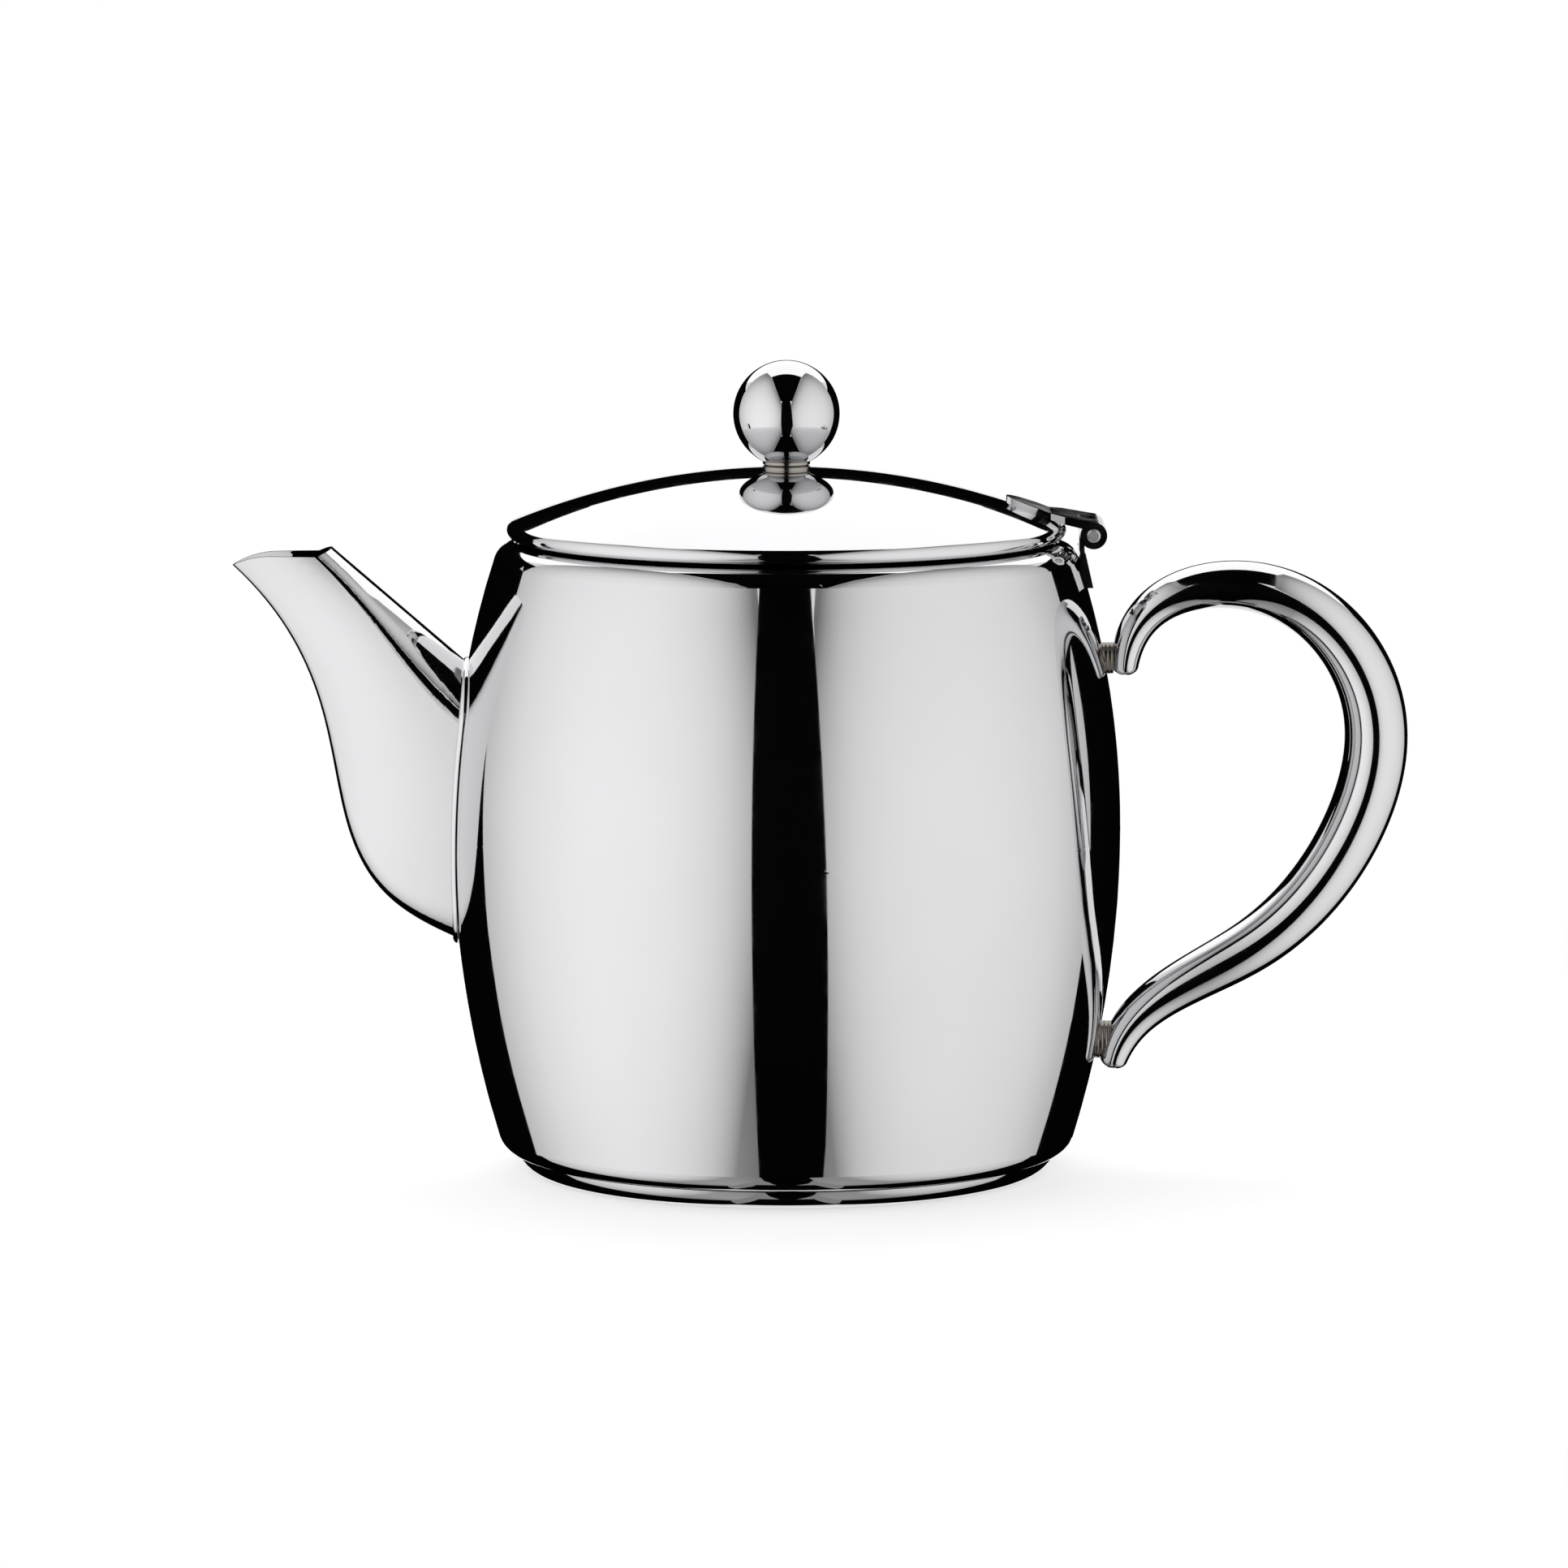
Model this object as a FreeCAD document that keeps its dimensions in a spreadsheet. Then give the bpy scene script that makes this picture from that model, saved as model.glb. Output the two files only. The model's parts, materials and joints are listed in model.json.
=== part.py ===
import FreeCAD, Part
import math
import os
from types import SimpleNamespace

import Sketcher

# Polished steel teapot with a hinged lid. Millimetres, +Z up, origin on the pot's axis at table height.
# The spout points along -X, the handle and the lid hinge along +X. XZ is the plane of symmetry.

SIZES = {
    # Drawn pot: barrel side of two arcs that meet at the belly
    "belly_radius": 62.2,
    "belly_height": 64.3,
    "lower_barrel_radius": 199.0,
    "upper_barrel_radius": 164.0,
    "bottom_height": 3.6,
    "bottom_corner_radius": 4.7,
    "shoulder_radius": 5.0,
    "seat_height": 118.1,
    "mouth_radius": 45.0,
    "mouth_lip_depth": 3.6,
    "mouth_lip_bend": 1.6,
    "pot_wall": 0.8,
    # Strainer pierced through the pot behind the spout
    "strainer_hole_radius": 1.8,
    "strainer_pitch": 5.6,
    "strainer_height": 70.0,
    # Pressed base cap under the pot
    "base_wall": 0.8,
    "foot_radius": 44.9,
    "foot_width": 5.0,
    "foot_step": 3.5,
    "base_edge_radius": 5.7,
    # Domed lid with a rolled rim
    "lid_wall": 0.8,
    "lid_rim_radius": 51.9,
    "lid_roll_radius": 1.5,
    "lid_seat_gap": 0.4,
    "lid_hem": 2.0,
    "dome_radius": 136.0,
    # Ring under the lid that drops into the mouth
    "ring_wall": 0.8,
    "ring_clearance": 0.8,
    "ring_depth": 6.0,
    "ring_flange": 6.0,
    # Ball knob, its collar and the screw that holds them
    "knob_radius": 9.9,
    "knob_lift": 0.3,
    "collar_radius": 4.4,
    "collar_groove": 0.35,
    "screw_radius": 2.0,
    "screw_hole_clearance": 0.15,
    "screw_engagement": 9.0,
    "screw_head_radius": 4.0,
    "screw_head_height": 2.0,
    "screw_slot_width": 1.0,
    "screw_slot_depth": 0.9,
    # Lid hinge
    "hinge_setback": 4.85,
    "hinge_rise": 1.5,
    "hinge_pin_radius": 1.25,
    "hinge_pin_end": 0.5,
    "hinge_knuckle_wall": 1.25,
    "hinge_clearance": 0.08,
    "hinge_side_gap": 0.3,
    "hinge_width": 18.0,
    "hinge_middle_width": 6.0,
    "strap_thickness": 1.2,
    "strap_reach": 16.0,
    "strap_tongue_radius": 6.5,
    "leaf_thickness": 1.0,
    "leaf_drop": 9.7,
    "leaf_relief": 0.7,
    # Spout: lower outline is a cubic curve, upper outline a straight ridge. Reaches count from the belly.
    "spout_wall": 0.8,
    "spout_root_inset": 3.2,
    "spout_root_height": 42.5,
    "spout_belly_reach": 34.5,
    "spout_belly_height": 55.7,
    "spout_neck_reach": 9.6,
    "spout_neck_height": 84.3,
    "spout_tip_reach": 40.6,
    "spout_tip_height": 113.3,
    "spout_ridge_inset": 8.2,
    "spout_ridge_height": 90.6,
    "spout_back_reach": 22.0,
    "spout_back_height": 116.6,
    "spout_root_half_width": 13.0,
    "spout_mouth_half_width": 6.3,
    "spout_mouth_drop": 1.25,
    "spout_mouth_flat": 8.0,
    "spout_mouth_ramp": 2.8,
    "spout_droop_radius": 15.9,
    # Handle: centre line is a cubic spline hung between its two posts. Runs count from the upper end.
    "handle_wall": 0.9,
    "handle_upper_gap": 1.03,
    "handle_lower_gap": 1.58,
    "handle_upper_height": 93.0,
    "handle_lower_height": 19.2,
    "handle_hook_rise": 14.2,
    "handle_crown_run": 26.4,
    "handle_crown_rise": 21.5,
    "handle_back_run": 47.4,
    "handle_back_rise": 1.3,
    "handle_grip_run": 47.8,
    "handle_grip_drop": 23.4,
    "handle_under_run": 27.6,
    "handle_under_drop": 54.3,
    "handle_foot_run": 2.0,
    "handle_foot_rise": 12.7,
    "handle_end_thickness": 4.4,
    "handle_grip_thickness": 11.8,
    "handle_end_width": 8.4,
    "handle_grip_width": 14.4,
    "post_upper_radius": 2.9,
    "post_lower_radius": 3.5,
}

# Counts and shares of the forms
STRAINER_ROWS = 7
STRAINER_COLUMNS = 3
SPOUT_STATIONS = (0.0, 0.18, 0.36, 0.54, 0.72, 0.88, 1.0, 1.07)
HANDLE_STATIONS = (0.0, 0.045, 0.1, 0.16, 0.23, 0.31, 0.4, 0.5, 0.6, 0.7, 0.79, 0.87, 0.94, 1.0)
HANDLE_HOLLOW_END = 0.03
HANDLE_DEGREE = 3
# Share of a spout section below its widest line, at the root and at the mouth
ROOT_WIDEST = 0.8
MOUTH_WIDEST = 0.8
# How sharply a spout section closes at its ends: 0 is a round end, 1 is that of an ellipse
ROOT_SHARPNESS = 0.3
LIP_SHARPNESS = 1.3
BACK_SHARPNESS = 1.0
# Spare length of a cutting shape beyond what it cuts
SPARE = 10.0

doc = FreeCAD.newDocument("Teapot")
sheet = doc.addObject("Spreadsheet::Sheet", "Sizes")
for row, (alias, number) in enumerate(SIZES.items(), start=1):
    sheet.set(f"A{row}", alias)
    sheet.set(f"B{row}", str(number))
    sheet.setAlias(f"B{row}", alias)
doc.recompute()


class Size:
    """A length with the sheet expression that gives it, so that sums stay bound to the sheet."""

    def __init__(self, text, value):
        self.text = text
        self.value = value

    def __add__(self, other):
        other = as_size(other)
        return Size(f"({self.text} + {other.text})", self.value + other.value)

    def __sub__(self, other):
        other = as_size(other)
        return Size(f"({self.text} - {other.text})", self.value - other.value)

    def __mul__(self, other):
        other = as_size(other)
        return Size(f"({self.text} * {other.text})", self.value * other.value)

    def __truediv__(self, other):
        other = as_size(other)
        return Size(f"({self.text} / {other.text})", self.value / other.value)

    def __pow__(self, power):
        return Size(f"({self.text} ^ {power!r})", self.value**power)

    def __neg__(self):
        return Size(f"(0 - {self.text})", -self.value)


def as_size(number):
    if isinstance(number, Size):
        return number
    return Size(f"({number!r})", float(number))


def root(size):
    return Size(f"sqrt({size.text})", math.sqrt(size.value))


def leg(long_side, short_side):
    """The other leg of a right triangle: a circle's half chord at a height."""
    return root(long_side * long_side - short_side * short_side)


def angle_of(across, along):
    degrees = math.degrees(math.atan2(across.value, along.value))
    return Size(f"atan2({across.text}; {along.text})", degrees)


d = SimpleNamespace(**{alias: Size(f"Sizes.{alias}", float(sheet.get(alias))) for alias in SIZES})
ZERO = as_size(0)


def new_body(name):
    body = doc.addObject("PartDesign::Body", name)
    body.Label = name
    return body


def new_sketch(body, plane, name):
    sketch = body.newObject("Sketcher::SketchObject", name)
    support = [feature for feature in body.Origin.OriginFeatures if feature.Role == plane][0]
    sketch.AttachmentSupport = [(support, "")]
    sketch.MapMode = "FlatFace"
    return sketch


def bound_constraint(sketch, size, *terms):
    index = sketch.addConstraint(Sketcher.Constraint(*terms, size.value))
    sketch.setExpression(f"Constraints[{index}]", size.text)


def place_point(sketch, geometry, point, across, up):
    """Bind a point's two coordinates, on an axis where a coordinate is nought."""
    if across is ZERO:
        sketch.addConstraint(Sketcher.Constraint("PointOnObject", geometry, point, -2))
    else:
        bound_constraint(sketch, across, "DistanceX", -1, 1, geometry, point)
    if up is ZERO:
        sketch.addConstraint(Sketcher.Constraint("PointOnObject", geometry, point, -1))
    else:
        bound_constraint(sketch, up, "DistanceY", -1, 1, geometry, point)


def arc(center, radius, turn):
    """An edge round a centre. turn is 1 for anticlockwise and -1 for clockwise."""
    return SimpleNamespace(center=center, radius=radius, turn=turn)


def draw_outline(sketch, corners):
    """Closed outline. Each corner is (across, up, edge to the next corner): None is straight, or an arc."""
    first = sketch.GeometryCount
    ends = []
    for number, (across, up, edge) in enumerate(corners):
        far_across, far_up, _ = corners[(number + 1) % len(corners)]
        here = FreeCAD.Vector(across.value, up.value, 0)
        there = FreeCAD.Vector(far_across.value, far_up.value, 0)
        if edge is None:
            sketch.addGeometry(Part.LineSegment(here, there))
            ends.append((1, 2))
            continue
        middle = FreeCAD.Vector(edge.center[0].value, edge.center[1].value, 0)
        angles = [math.atan2(point.y - middle.y, point.x - middle.x) for point in (here, there)]
        if edge.turn < 0:
            angles.reverse()
        if angles[1] <= angles[0]:
            angles[1] += 2 * math.pi
        circle = Part.Circle(middle, FreeCAD.Vector(0, 0, 1), edge.radius.value)
        sketch.addGeometry(Part.ArcOfCircle(circle, *angles))
        ends.append((1, 2) if edge.turn > 0 else (2, 1))
    for number, (across, up, edge) in enumerate(corners):
        geometry = first + number
        following = (number + 1) % len(corners)
        terms = (geometry, ends[number][1], first + following, ends[following][0])
        sketch.addConstraint(Sketcher.Constraint("Coincident", *terms))
        place_point(sketch, geometry, ends[number][0], across, up)
        if edge is not None:
            bound_constraint(sketch, edge.radius, "Radius", geometry)


def draw_circle(sketch, across, up, radius):
    middle = FreeCAD.Vector(across.value, up.value, 0)
    geometry = sketch.addGeometry(Part.Circle(middle, FreeCAD.Vector(0, 0, 1), radius.value))
    place_point(sketch, geometry, 3, across, up)
    bound_constraint(sketch, radius, "Radius", geometry)


def draw_rectangle(sketch, left, right, low, high):
    corners = ((left, low), (right, low), (right, high), (left, high))
    draw_outline(sketch, [(across, up, None) for across, up in corners])


def finish_feature(body, feature):
    body.Tip = feature
    doc.recompute()
    return feature


def revolve(body, kind, name, corners):
    """Turn an outline in the XZ plane once round Z. kind is Revolution or Groove."""
    sketch = new_sketch(body, "XZ_Plane", name + "_outline")
    draw_outline(sketch, corners)
    feature = body.newObject("PartDesign::" + kind, name)
    feature.Profile = sketch
    feature.ReferenceAxis = (sketch, ["V_Axis"])
    feature.Angle = 360
    return finish_feature(body, feature)


def pad(body, name, plane, draw, length):
    """A pad of the given whole length, half to each side of its plane."""
    sketch = new_sketch(body, plane, name + "_outline")
    draw(sketch)
    feature = body.newObject("PartDesign::Pad", name)
    feature.Profile = sketch
    feature.Midplane = True
    feature.setExpression("Length", length.text)
    return finish_feature(body, feature)


def pocket(body, name, plane, draw, both_ways=True, reversed_way=False):
    """A pocket right through the body, which has to take material away."""
    before = body.Shape.Volume
    sketch = new_sketch(body, plane, name + "_outline")
    draw(sketch)
    feature = body.newObject("PartDesign::Pocket", name)
    feature.Profile = sketch
    feature.Type = "ThroughAll"
    feature.Midplane = both_ways
    feature.Reversed = reversed_way
    finish_feature(body, feature)
    if not body.Shape.Volume < before:
        raise RuntimeError(f"{body.Label}: {name} cuts nothing")
    return feature


def loft(body, kind, name, sections):
    """Loft through section sketches. kind is AdditiveLoft or SubtractiveLoft."""
    feature = body.newObject("PartDesign::" + kind, name)
    feature.Profile = sections[0]
    feature.Sections = sections[1:]
    return finish_feature(body, feature)


# Pot outline, shared by every piece that meets the pot

LOWER_AXIS = (d.belly_radius - d.lower_barrel_radius, d.belly_height)
UPPER_AXIS = (d.belly_radius - d.upper_barrel_radius, d.belly_height)


def blend_center(barrel_axis, barrel_radius, blend_radius, height):
    """Centre of a rounding that runs into the barrel from inside, at a given height."""
    reach = leg(barrel_radius - blend_radius, height - barrel_axis[1])
    return (barrel_axis[0] + reach, height)


CORNER_AXIS = blend_center(
    LOWER_AXIS, d.lower_barrel_radius, d.bottom_corner_radius, d.bottom_height + d.bottom_corner_radius
)
SHOULDER_AXIS = blend_center(
    UPPER_AXIS, d.upper_barrel_radius, d.shoulder_radius, d.seat_height - d.shoulder_radius
)


def touch_point(big_axis, big_radius, small_axis, small_radius, offset):
    """Where a rounding touches the arc round it, a wall thickness inside."""
    share = (big_radius - offset) / (big_radius - small_radius)
    return [big + (small - big) * share for big, small in zip(big_axis, small_axis)]


def pot_side(offset):
    """Bottom edge to seat edge, the given distance inside the pot's outer face."""
    lower_touch = touch_point(
        LOWER_AXIS, d.lower_barrel_radius, CORNER_AXIS, d.bottom_corner_radius, offset
    )
    upper_touch = touch_point(
        UPPER_AXIS, d.upper_barrel_radius, SHOULDER_AXIS, d.shoulder_radius, offset
    )
    return [
        (CORNER_AXIS[0], d.bottom_height + offset, arc(CORNER_AXIS, d.bottom_corner_radius - offset, 1)),
        (*lower_touch, arc(LOWER_AXIS, d.lower_barrel_radius - offset, 1)),
        (d.belly_radius - offset, d.belly_height, arc(UPPER_AXIS, d.upper_barrel_radius - offset, 1)),
        (*upper_touch, arc(SHOULDER_AXIS, d.shoulder_radius - offset, 1)),
        (SHOULDER_AXIS[0], d.seat_height - offset, None),
    ]


def backwards(corners):
    """The same run of corners from its far end, with its arcs turned round."""
    edges = [edge and arc(edge.center, edge.radius, -edge.turn) for _, _, edge in corners]
    points = [corner[:2] for corner in corners]
    return [(*point, edge) for point, edge in zip(points[::-1], edges[-2::-1] + [None])]


def pot_radius(height):
    """Outer radius of the pot at a height on its barrel."""
    if height.value > d.belly_height.value:
        return UPPER_AXIS[0] + leg(d.upper_barrel_radius, height - d.belly_height)
    return LOWER_AXIS[0] + leg(d.lower_barrel_radius, height - d.belly_height)


POT_REGION = [(ZERO, d.bottom_height, None), *pot_side(ZERO), (ZERO, d.seat_height, None)]


def make_pot():
    body = new_body("pot_shell")
    lip_axis = (d.mouth_radius + d.mouth_lip_bend, d.seat_height - d.mouth_lip_bend)
    lip_low = d.seat_height - d.mouth_lip_depth
    lip_back = d.mouth_radius + d.pot_wall
    corners = [
        (ZERO, d.bottom_height, None),
        *pot_side(ZERO),
        (lip_axis[0], d.seat_height, arc(lip_axis, d.mouth_lip_bend, 1)),
        (d.mouth_radius, lip_axis[1], None),
        (d.mouth_radius, lip_low, None),
        (lip_back, lip_low, None),
        (lip_back, lip_axis[1], arc(lip_axis, d.mouth_lip_bend - d.pot_wall, -1)),
        (lip_axis[0], d.seat_height - d.pot_wall, None),
        *backwards(pot_side(d.pot_wall)),
        (ZERO, d.bottom_height + d.pot_wall, None),
    ]
    revolve(body, "Revolution", "pot_wall", corners)

    def strainer(sketch):
        row_step = d.strainer_pitch * math.sqrt(0.75)
        for number in range(STRAINER_ROWS):
            up = d.strainer_height + row_step * (number - (STRAINER_ROWS - 1) / 2)
            columns = STRAINER_COLUMNS - number % 2
            for place in range(columns):
                share = place - (columns - 1) / 2
                across = d.strainer_pitch * share if share else ZERO
                draw_circle(sketch, across, up, d.strainer_hole_radius)

    pocket(body, "strainer_holes", "YZ_Plane", strainer, both_ways=False)
    return body


def make_base():
    body = new_body("base_cap")
    edge_axis = (d.foot_radius, d.base_edge_radius)
    edge_rise = d.base_edge_radius - d.bottom_height
    inner_edge = d.base_edge_radius - d.base_wall
    foot_inside = d.foot_radius - d.foot_width
    recess = foot_inside - d.foot_step
    corners = [
        (ZERO, d.bottom_height - d.base_wall, None),
        (recess, d.bottom_height - d.base_wall, None),
        (foot_inside, ZERO, None),
        (d.foot_radius, ZERO, arc(edge_axis, d.base_edge_radius, 1)),
        (d.foot_radius + leg(d.base_edge_radius, edge_rise), d.bottom_height, None),
        (d.foot_radius + leg(inner_edge, edge_rise), d.bottom_height, arc(edge_axis, inner_edge, -1)),
        (d.foot_radius, d.base_wall, None),
        (foot_inside + d.base_wall, d.base_wall, None),
        (recess + d.base_wall, d.bottom_height, None),
        (ZERO, d.bottom_height, None),
    ]
    revolve(body, "Revolution", "base_sheet", corners)
    return body


# Lid outline, shared by the lid, its ring, the knob and the hinge strap

ROLL_AXIS = (d.lid_rim_radius - d.lid_roll_radius, d.seat_height + d.lid_seat_gap + d.lid_roll_radius)
DOME_AXIS = (ZERO, ROLL_AXIS[1] - leg(d.dome_radius - d.lid_roll_radius, ROLL_AXIS[0]))
SCREW_HOLE = d.screw_radius + d.screw_hole_clearance
LID_UNDERSIDE = d.dome_radius - d.lid_wall


def dome_height(radius, across):
    return DOME_AXIS[1] + leg(radius, across)


def roll_touch(offset):
    return touch_point(DOME_AXIS, d.dome_radius, ROLL_AXIS, d.lid_roll_radius, offset)


def make_lid():
    body = new_body("lid_shell")
    hem_edge = ROLL_AXIS[0] - d.lid_hem
    hem_low = ROLL_AXIS[1] - d.lid_roll_radius
    inner_roll = d.lid_roll_radius - d.lid_wall
    corners = [
        (SCREW_HOLE, dome_height(d.dome_radius, SCREW_HOLE), arc(DOME_AXIS, d.dome_radius, -1)),
        (*roll_touch(ZERO), arc(ROLL_AXIS, d.lid_roll_radius, -1)),
        (ROLL_AXIS[0], hem_low, None),
        (hem_edge, hem_low, None),
        (hem_edge, hem_low + d.lid_wall, None),
        (ROLL_AXIS[0], hem_low + d.lid_wall, arc(ROLL_AXIS, inner_roll, 1)),
        (*roll_touch(d.lid_wall), arc(DOME_AXIS, LID_UNDERSIDE, 1)),
        (SCREW_HOLE, dome_height(LID_UNDERSIDE, SCREW_HOLE), None),
    ]
    revolve(body, "Revolution", "lid_sheet", corners)
    return body


def make_lid_ring():
    body = new_body("lid_locating_ring")
    outside = d.mouth_radius - d.ring_clearance
    inside = outside - d.ring_wall
    low = d.seat_height - d.ring_depth
    flange_edge = outside - d.ring_flange
    flange_under = LID_UNDERSIDE - d.ring_wall
    corners = [
        (inside, low, None),
        (outside, low, None),
        (outside, dome_height(LID_UNDERSIDE, outside), arc(DOME_AXIS, LID_UNDERSIDE, 1)),
        (flange_edge, dome_height(LID_UNDERSIDE, flange_edge), None),
        (flange_edge, dome_height(flange_under, flange_edge), arc(DOME_AXIS, flange_under, -1)),
        (inside, dome_height(flange_under, inside), None),
    ]
    revolve(body, "Revolution", "ring_sheet", corners)
    return body


BALL_AXIS = (ZERO, DOME_AXIS[1] + d.dome_radius + d.knob_lift + d.knob_radius)


def ball_underside(across):
    return BALL_AXIS[1] - leg(d.knob_radius, across)


SCREW_TOP = BALL_AXIS[1] - d.knob_radius + d.screw_engagement


def make_knob():
    body = new_body("knob_ball")
    corners = [
        (d.screw_radius, ball_underside(d.screw_radius), arc(BALL_AXIS, d.knob_radius, 1)),
        (ZERO, BALL_AXIS[1] + d.knob_radius, None),
        (ZERO, SCREW_TOP, None),
        (d.screw_radius, SCREW_TOP, None),
    ]
    revolve(body, "Revolution", "ball", corners)
    return body


def make_collar():
    body = new_body("knob_collar")
    low = dome_height(d.dome_radius, d.collar_radius)
    high = ball_underside(d.collar_radius)
    groove_low = low + (high - low) / 3
    groove_high = high - (high - low) / 3
    corners = [
        (SCREW_HOLE, dome_height(d.dome_radius, SCREW_HOLE), arc(DOME_AXIS, d.dome_radius, -1)),
        (d.collar_radius, low, None),
        (d.collar_radius, groove_low, None),
        (d.collar_radius - d.collar_groove, (low + high) / 2, None),
        (d.collar_radius, groove_high, None),
        (d.collar_radius, high, arc(BALL_AXIS, d.knob_radius, -1)),
        (SCREW_HOLE, ball_underside(SCREW_HOLE), None),
    ]
    revolve(body, "Revolution", "collar", corners)
    return body


def make_knob_screw():
    body = new_body("knob_screw")
    head_top = dome_height(LID_UNDERSIDE, d.screw_head_radius)
    head_low = head_top - d.screw_head_height
    head_edge = head_low + d.screw_head_height / 2
    corners = [
        (ZERO, head_low, None),
        (d.screw_head_radius - d.screw_head_height / 2, head_low, None),
        (d.screw_head_radius, head_edge, None),
        (d.screw_head_radius, head_top, None),
        (d.screw_radius, head_top, None),
        (d.screw_radius, SCREW_TOP, None),
        (ZERO, SCREW_TOP, None),
    ]
    revolve(body, "Revolution", "screw", corners)

    def slot(sketch):
        half = d.screw_slot_width / 2
        draw_rectangle(sketch, -half, half, head_low - SPARE, head_low + d.screw_slot_depth)

    pocket(body, "slot", "XZ_Plane", slot)
    return body


# Hinge, placed from the lid's rim and the seat

PIN_AXIS = (d.lid_rim_radius + d.hinge_setback, d.seat_height + d.hinge_rise)
KNUCKLE = d.hinge_pin_radius + d.hinge_knuckle_wall


def bore(radius):
    return lambda sketch: draw_circle(sketch, *PIN_AXIS, radius)


def make_lid_strap():
    body = new_body("hinge_lid_strap")
    over_dome = d.dome_radius + d.strap_thickness
    end = PIN_AXIS[0] - d.strap_reach
    bend = ROLL_AXIS[0] - d.lid_roll_radius
    bend_top = dome_height(over_dome, bend)
    neck = KNUCKLE - d.strap_thickness
    below_dome = dome_height(d.dome_radius, end) - d.strap_thickness

    def side(sketch):
        corners = [
            (end, below_dome, None),
            (bend, bend_top - d.strap_thickness, None),
            (PIN_AXIS[0] - leg(KNUCKLE, neck), PIN_AXIS[1] + neck, arc(PIN_AXIS, KNUCKLE, 1)),
            (PIN_AXIS[0], PIN_AXIS[1] + KNUCKLE, None),
            (bend, bend_top, arc(DOME_AXIS, over_dome, 1)),
            (end, dome_height(over_dome, end), None),
        ]
        draw_outline(sketch, corners)

    pad(body, "strap", "XZ_Plane", side, d.hinge_width)
    half = d.hinge_width / 2
    tongue = d.strap_tongue_radius
    tongue_axis = (end + tongue, ZERO)

    def trim(sketch):
        flare = half - tongue
        corners = [
            (bend + flare, half, None),
            (bend + flare, half + SPARE, None),
            (end - SPARE, half + SPARE, None),
            (end - SPARE, -(half + SPARE), None),
            (bend + flare, -(half + SPARE), None),
            (bend + flare, -half, None),
            (bend, -tongue, None),
            (end + tongue, -tongue, arc(tongue_axis, tongue, -1)),
            (end, ZERO, arc(tongue_axis, tongue, -1)),
            (end + tongue, tongue, None),
            (bend, tongue, None),
        ]
        draw_outline(sketch, corners)

    pocket(body, "tongue", "XY_Plane", trim)
    gap = d.hinge_middle_width / 2 + d.hinge_side_gap
    clear = KNUCKLE + d.hinge_side_gap

    def middle(sketch):
        draw_rectangle(sketch, PIN_AXIS[0] - clear, PIN_AXIS[0] + clear, -gap, gap)

    pocket(body, "middle_gap", "XY_Plane", middle)
    pocket(body, "pin_bore", "XZ_Plane", bore(d.hinge_pin_radius + d.hinge_clearance))
    lid_region = [
        (ZERO, dome_height(d.dome_radius, ZERO), arc(DOME_AXIS, d.dome_radius, -1)),
        (*roll_touch(ZERO), arc(ROLL_AXIS, d.lid_roll_radius, -1)),
        (ROLL_AXIS[0], ROLL_AXIS[1] - d.lid_roll_radius, None),
        (ZERO, ROLL_AXIS[1] - d.lid_roll_radius, None),
    ]
    revolve(body, "Groove", "lid_seat", lid_region)
    return body


def make_body_leaf():
    body = new_body("hinge_body_leaf")
    low = PIN_AXIS[1] - d.leaf_drop
    inside = PIN_AXIS[0] - KNUCKLE
    outside = inside + d.leaf_thickness
    plate_top = PIN_AXIS[1] - KNUCKLE - d.leaf_relief
    buried = pot_radius(low) - KNUCKLE

    def side(sketch):
        corners = [
            (buried, low, None),
            (pot_radius(low) + d.leaf_thickness, low, None),
            (outside, plate_top, None),
            (outside, PIN_AXIS[1] - leg(KNUCKLE, KNUCKLE - d.leaf_thickness), arc(PIN_AXIS, KNUCKLE, 1)),
            (inside, PIN_AXIS[1], None),
            (inside, SHOULDER_AXIS[1], None),
            (buried, SHOULDER_AXIS[1], None),
        ]
        draw_outline(sketch, corners)

    pad(body, "leaf", "XZ_Plane", side, d.hinge_width)
    middle = d.hinge_middle_width / 2
    edge = d.hinge_width / 2 + SPARE
    above = PIN_AXIS[1] + KNUCKLE + SPARE

    def shoulders(sketch):
        draw_rectangle(sketch, middle, edge, plate_top, above)
        draw_rectangle(sketch, -edge, -middle, plate_top, above)

    pocket(body, "knuckle_sides", "YZ_Plane", shoulders)
    pocket(body, "pin_bore", "XZ_Plane", bore(d.hinge_pin_radius))
    revolve(body, "Groove", "pot_seat", POT_REGION)
    return body


def make_pin():
    body = new_body("hinge_pin")
    rod = pad(body, "pin", "XZ_Plane", bore(d.hinge_pin_radius), d.hinge_width + d.hinge_pin_end * 2)
    rims = [f"Edge{number}" for number, edge in enumerate(rod.Shape.Edges, start=1) if edge.Closed]
    chamfer = body.newObject("PartDesign::Chamfer", "pin_ends")
    chamfer.Base = (rod, rims)
    chamfer.setExpression("Size", (d.hinge_pin_end * 0.6).text)
    finish_feature(body, chamfer)
    return body


# Lofted pieces: oval sections on planes that hold the Y direction

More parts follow.
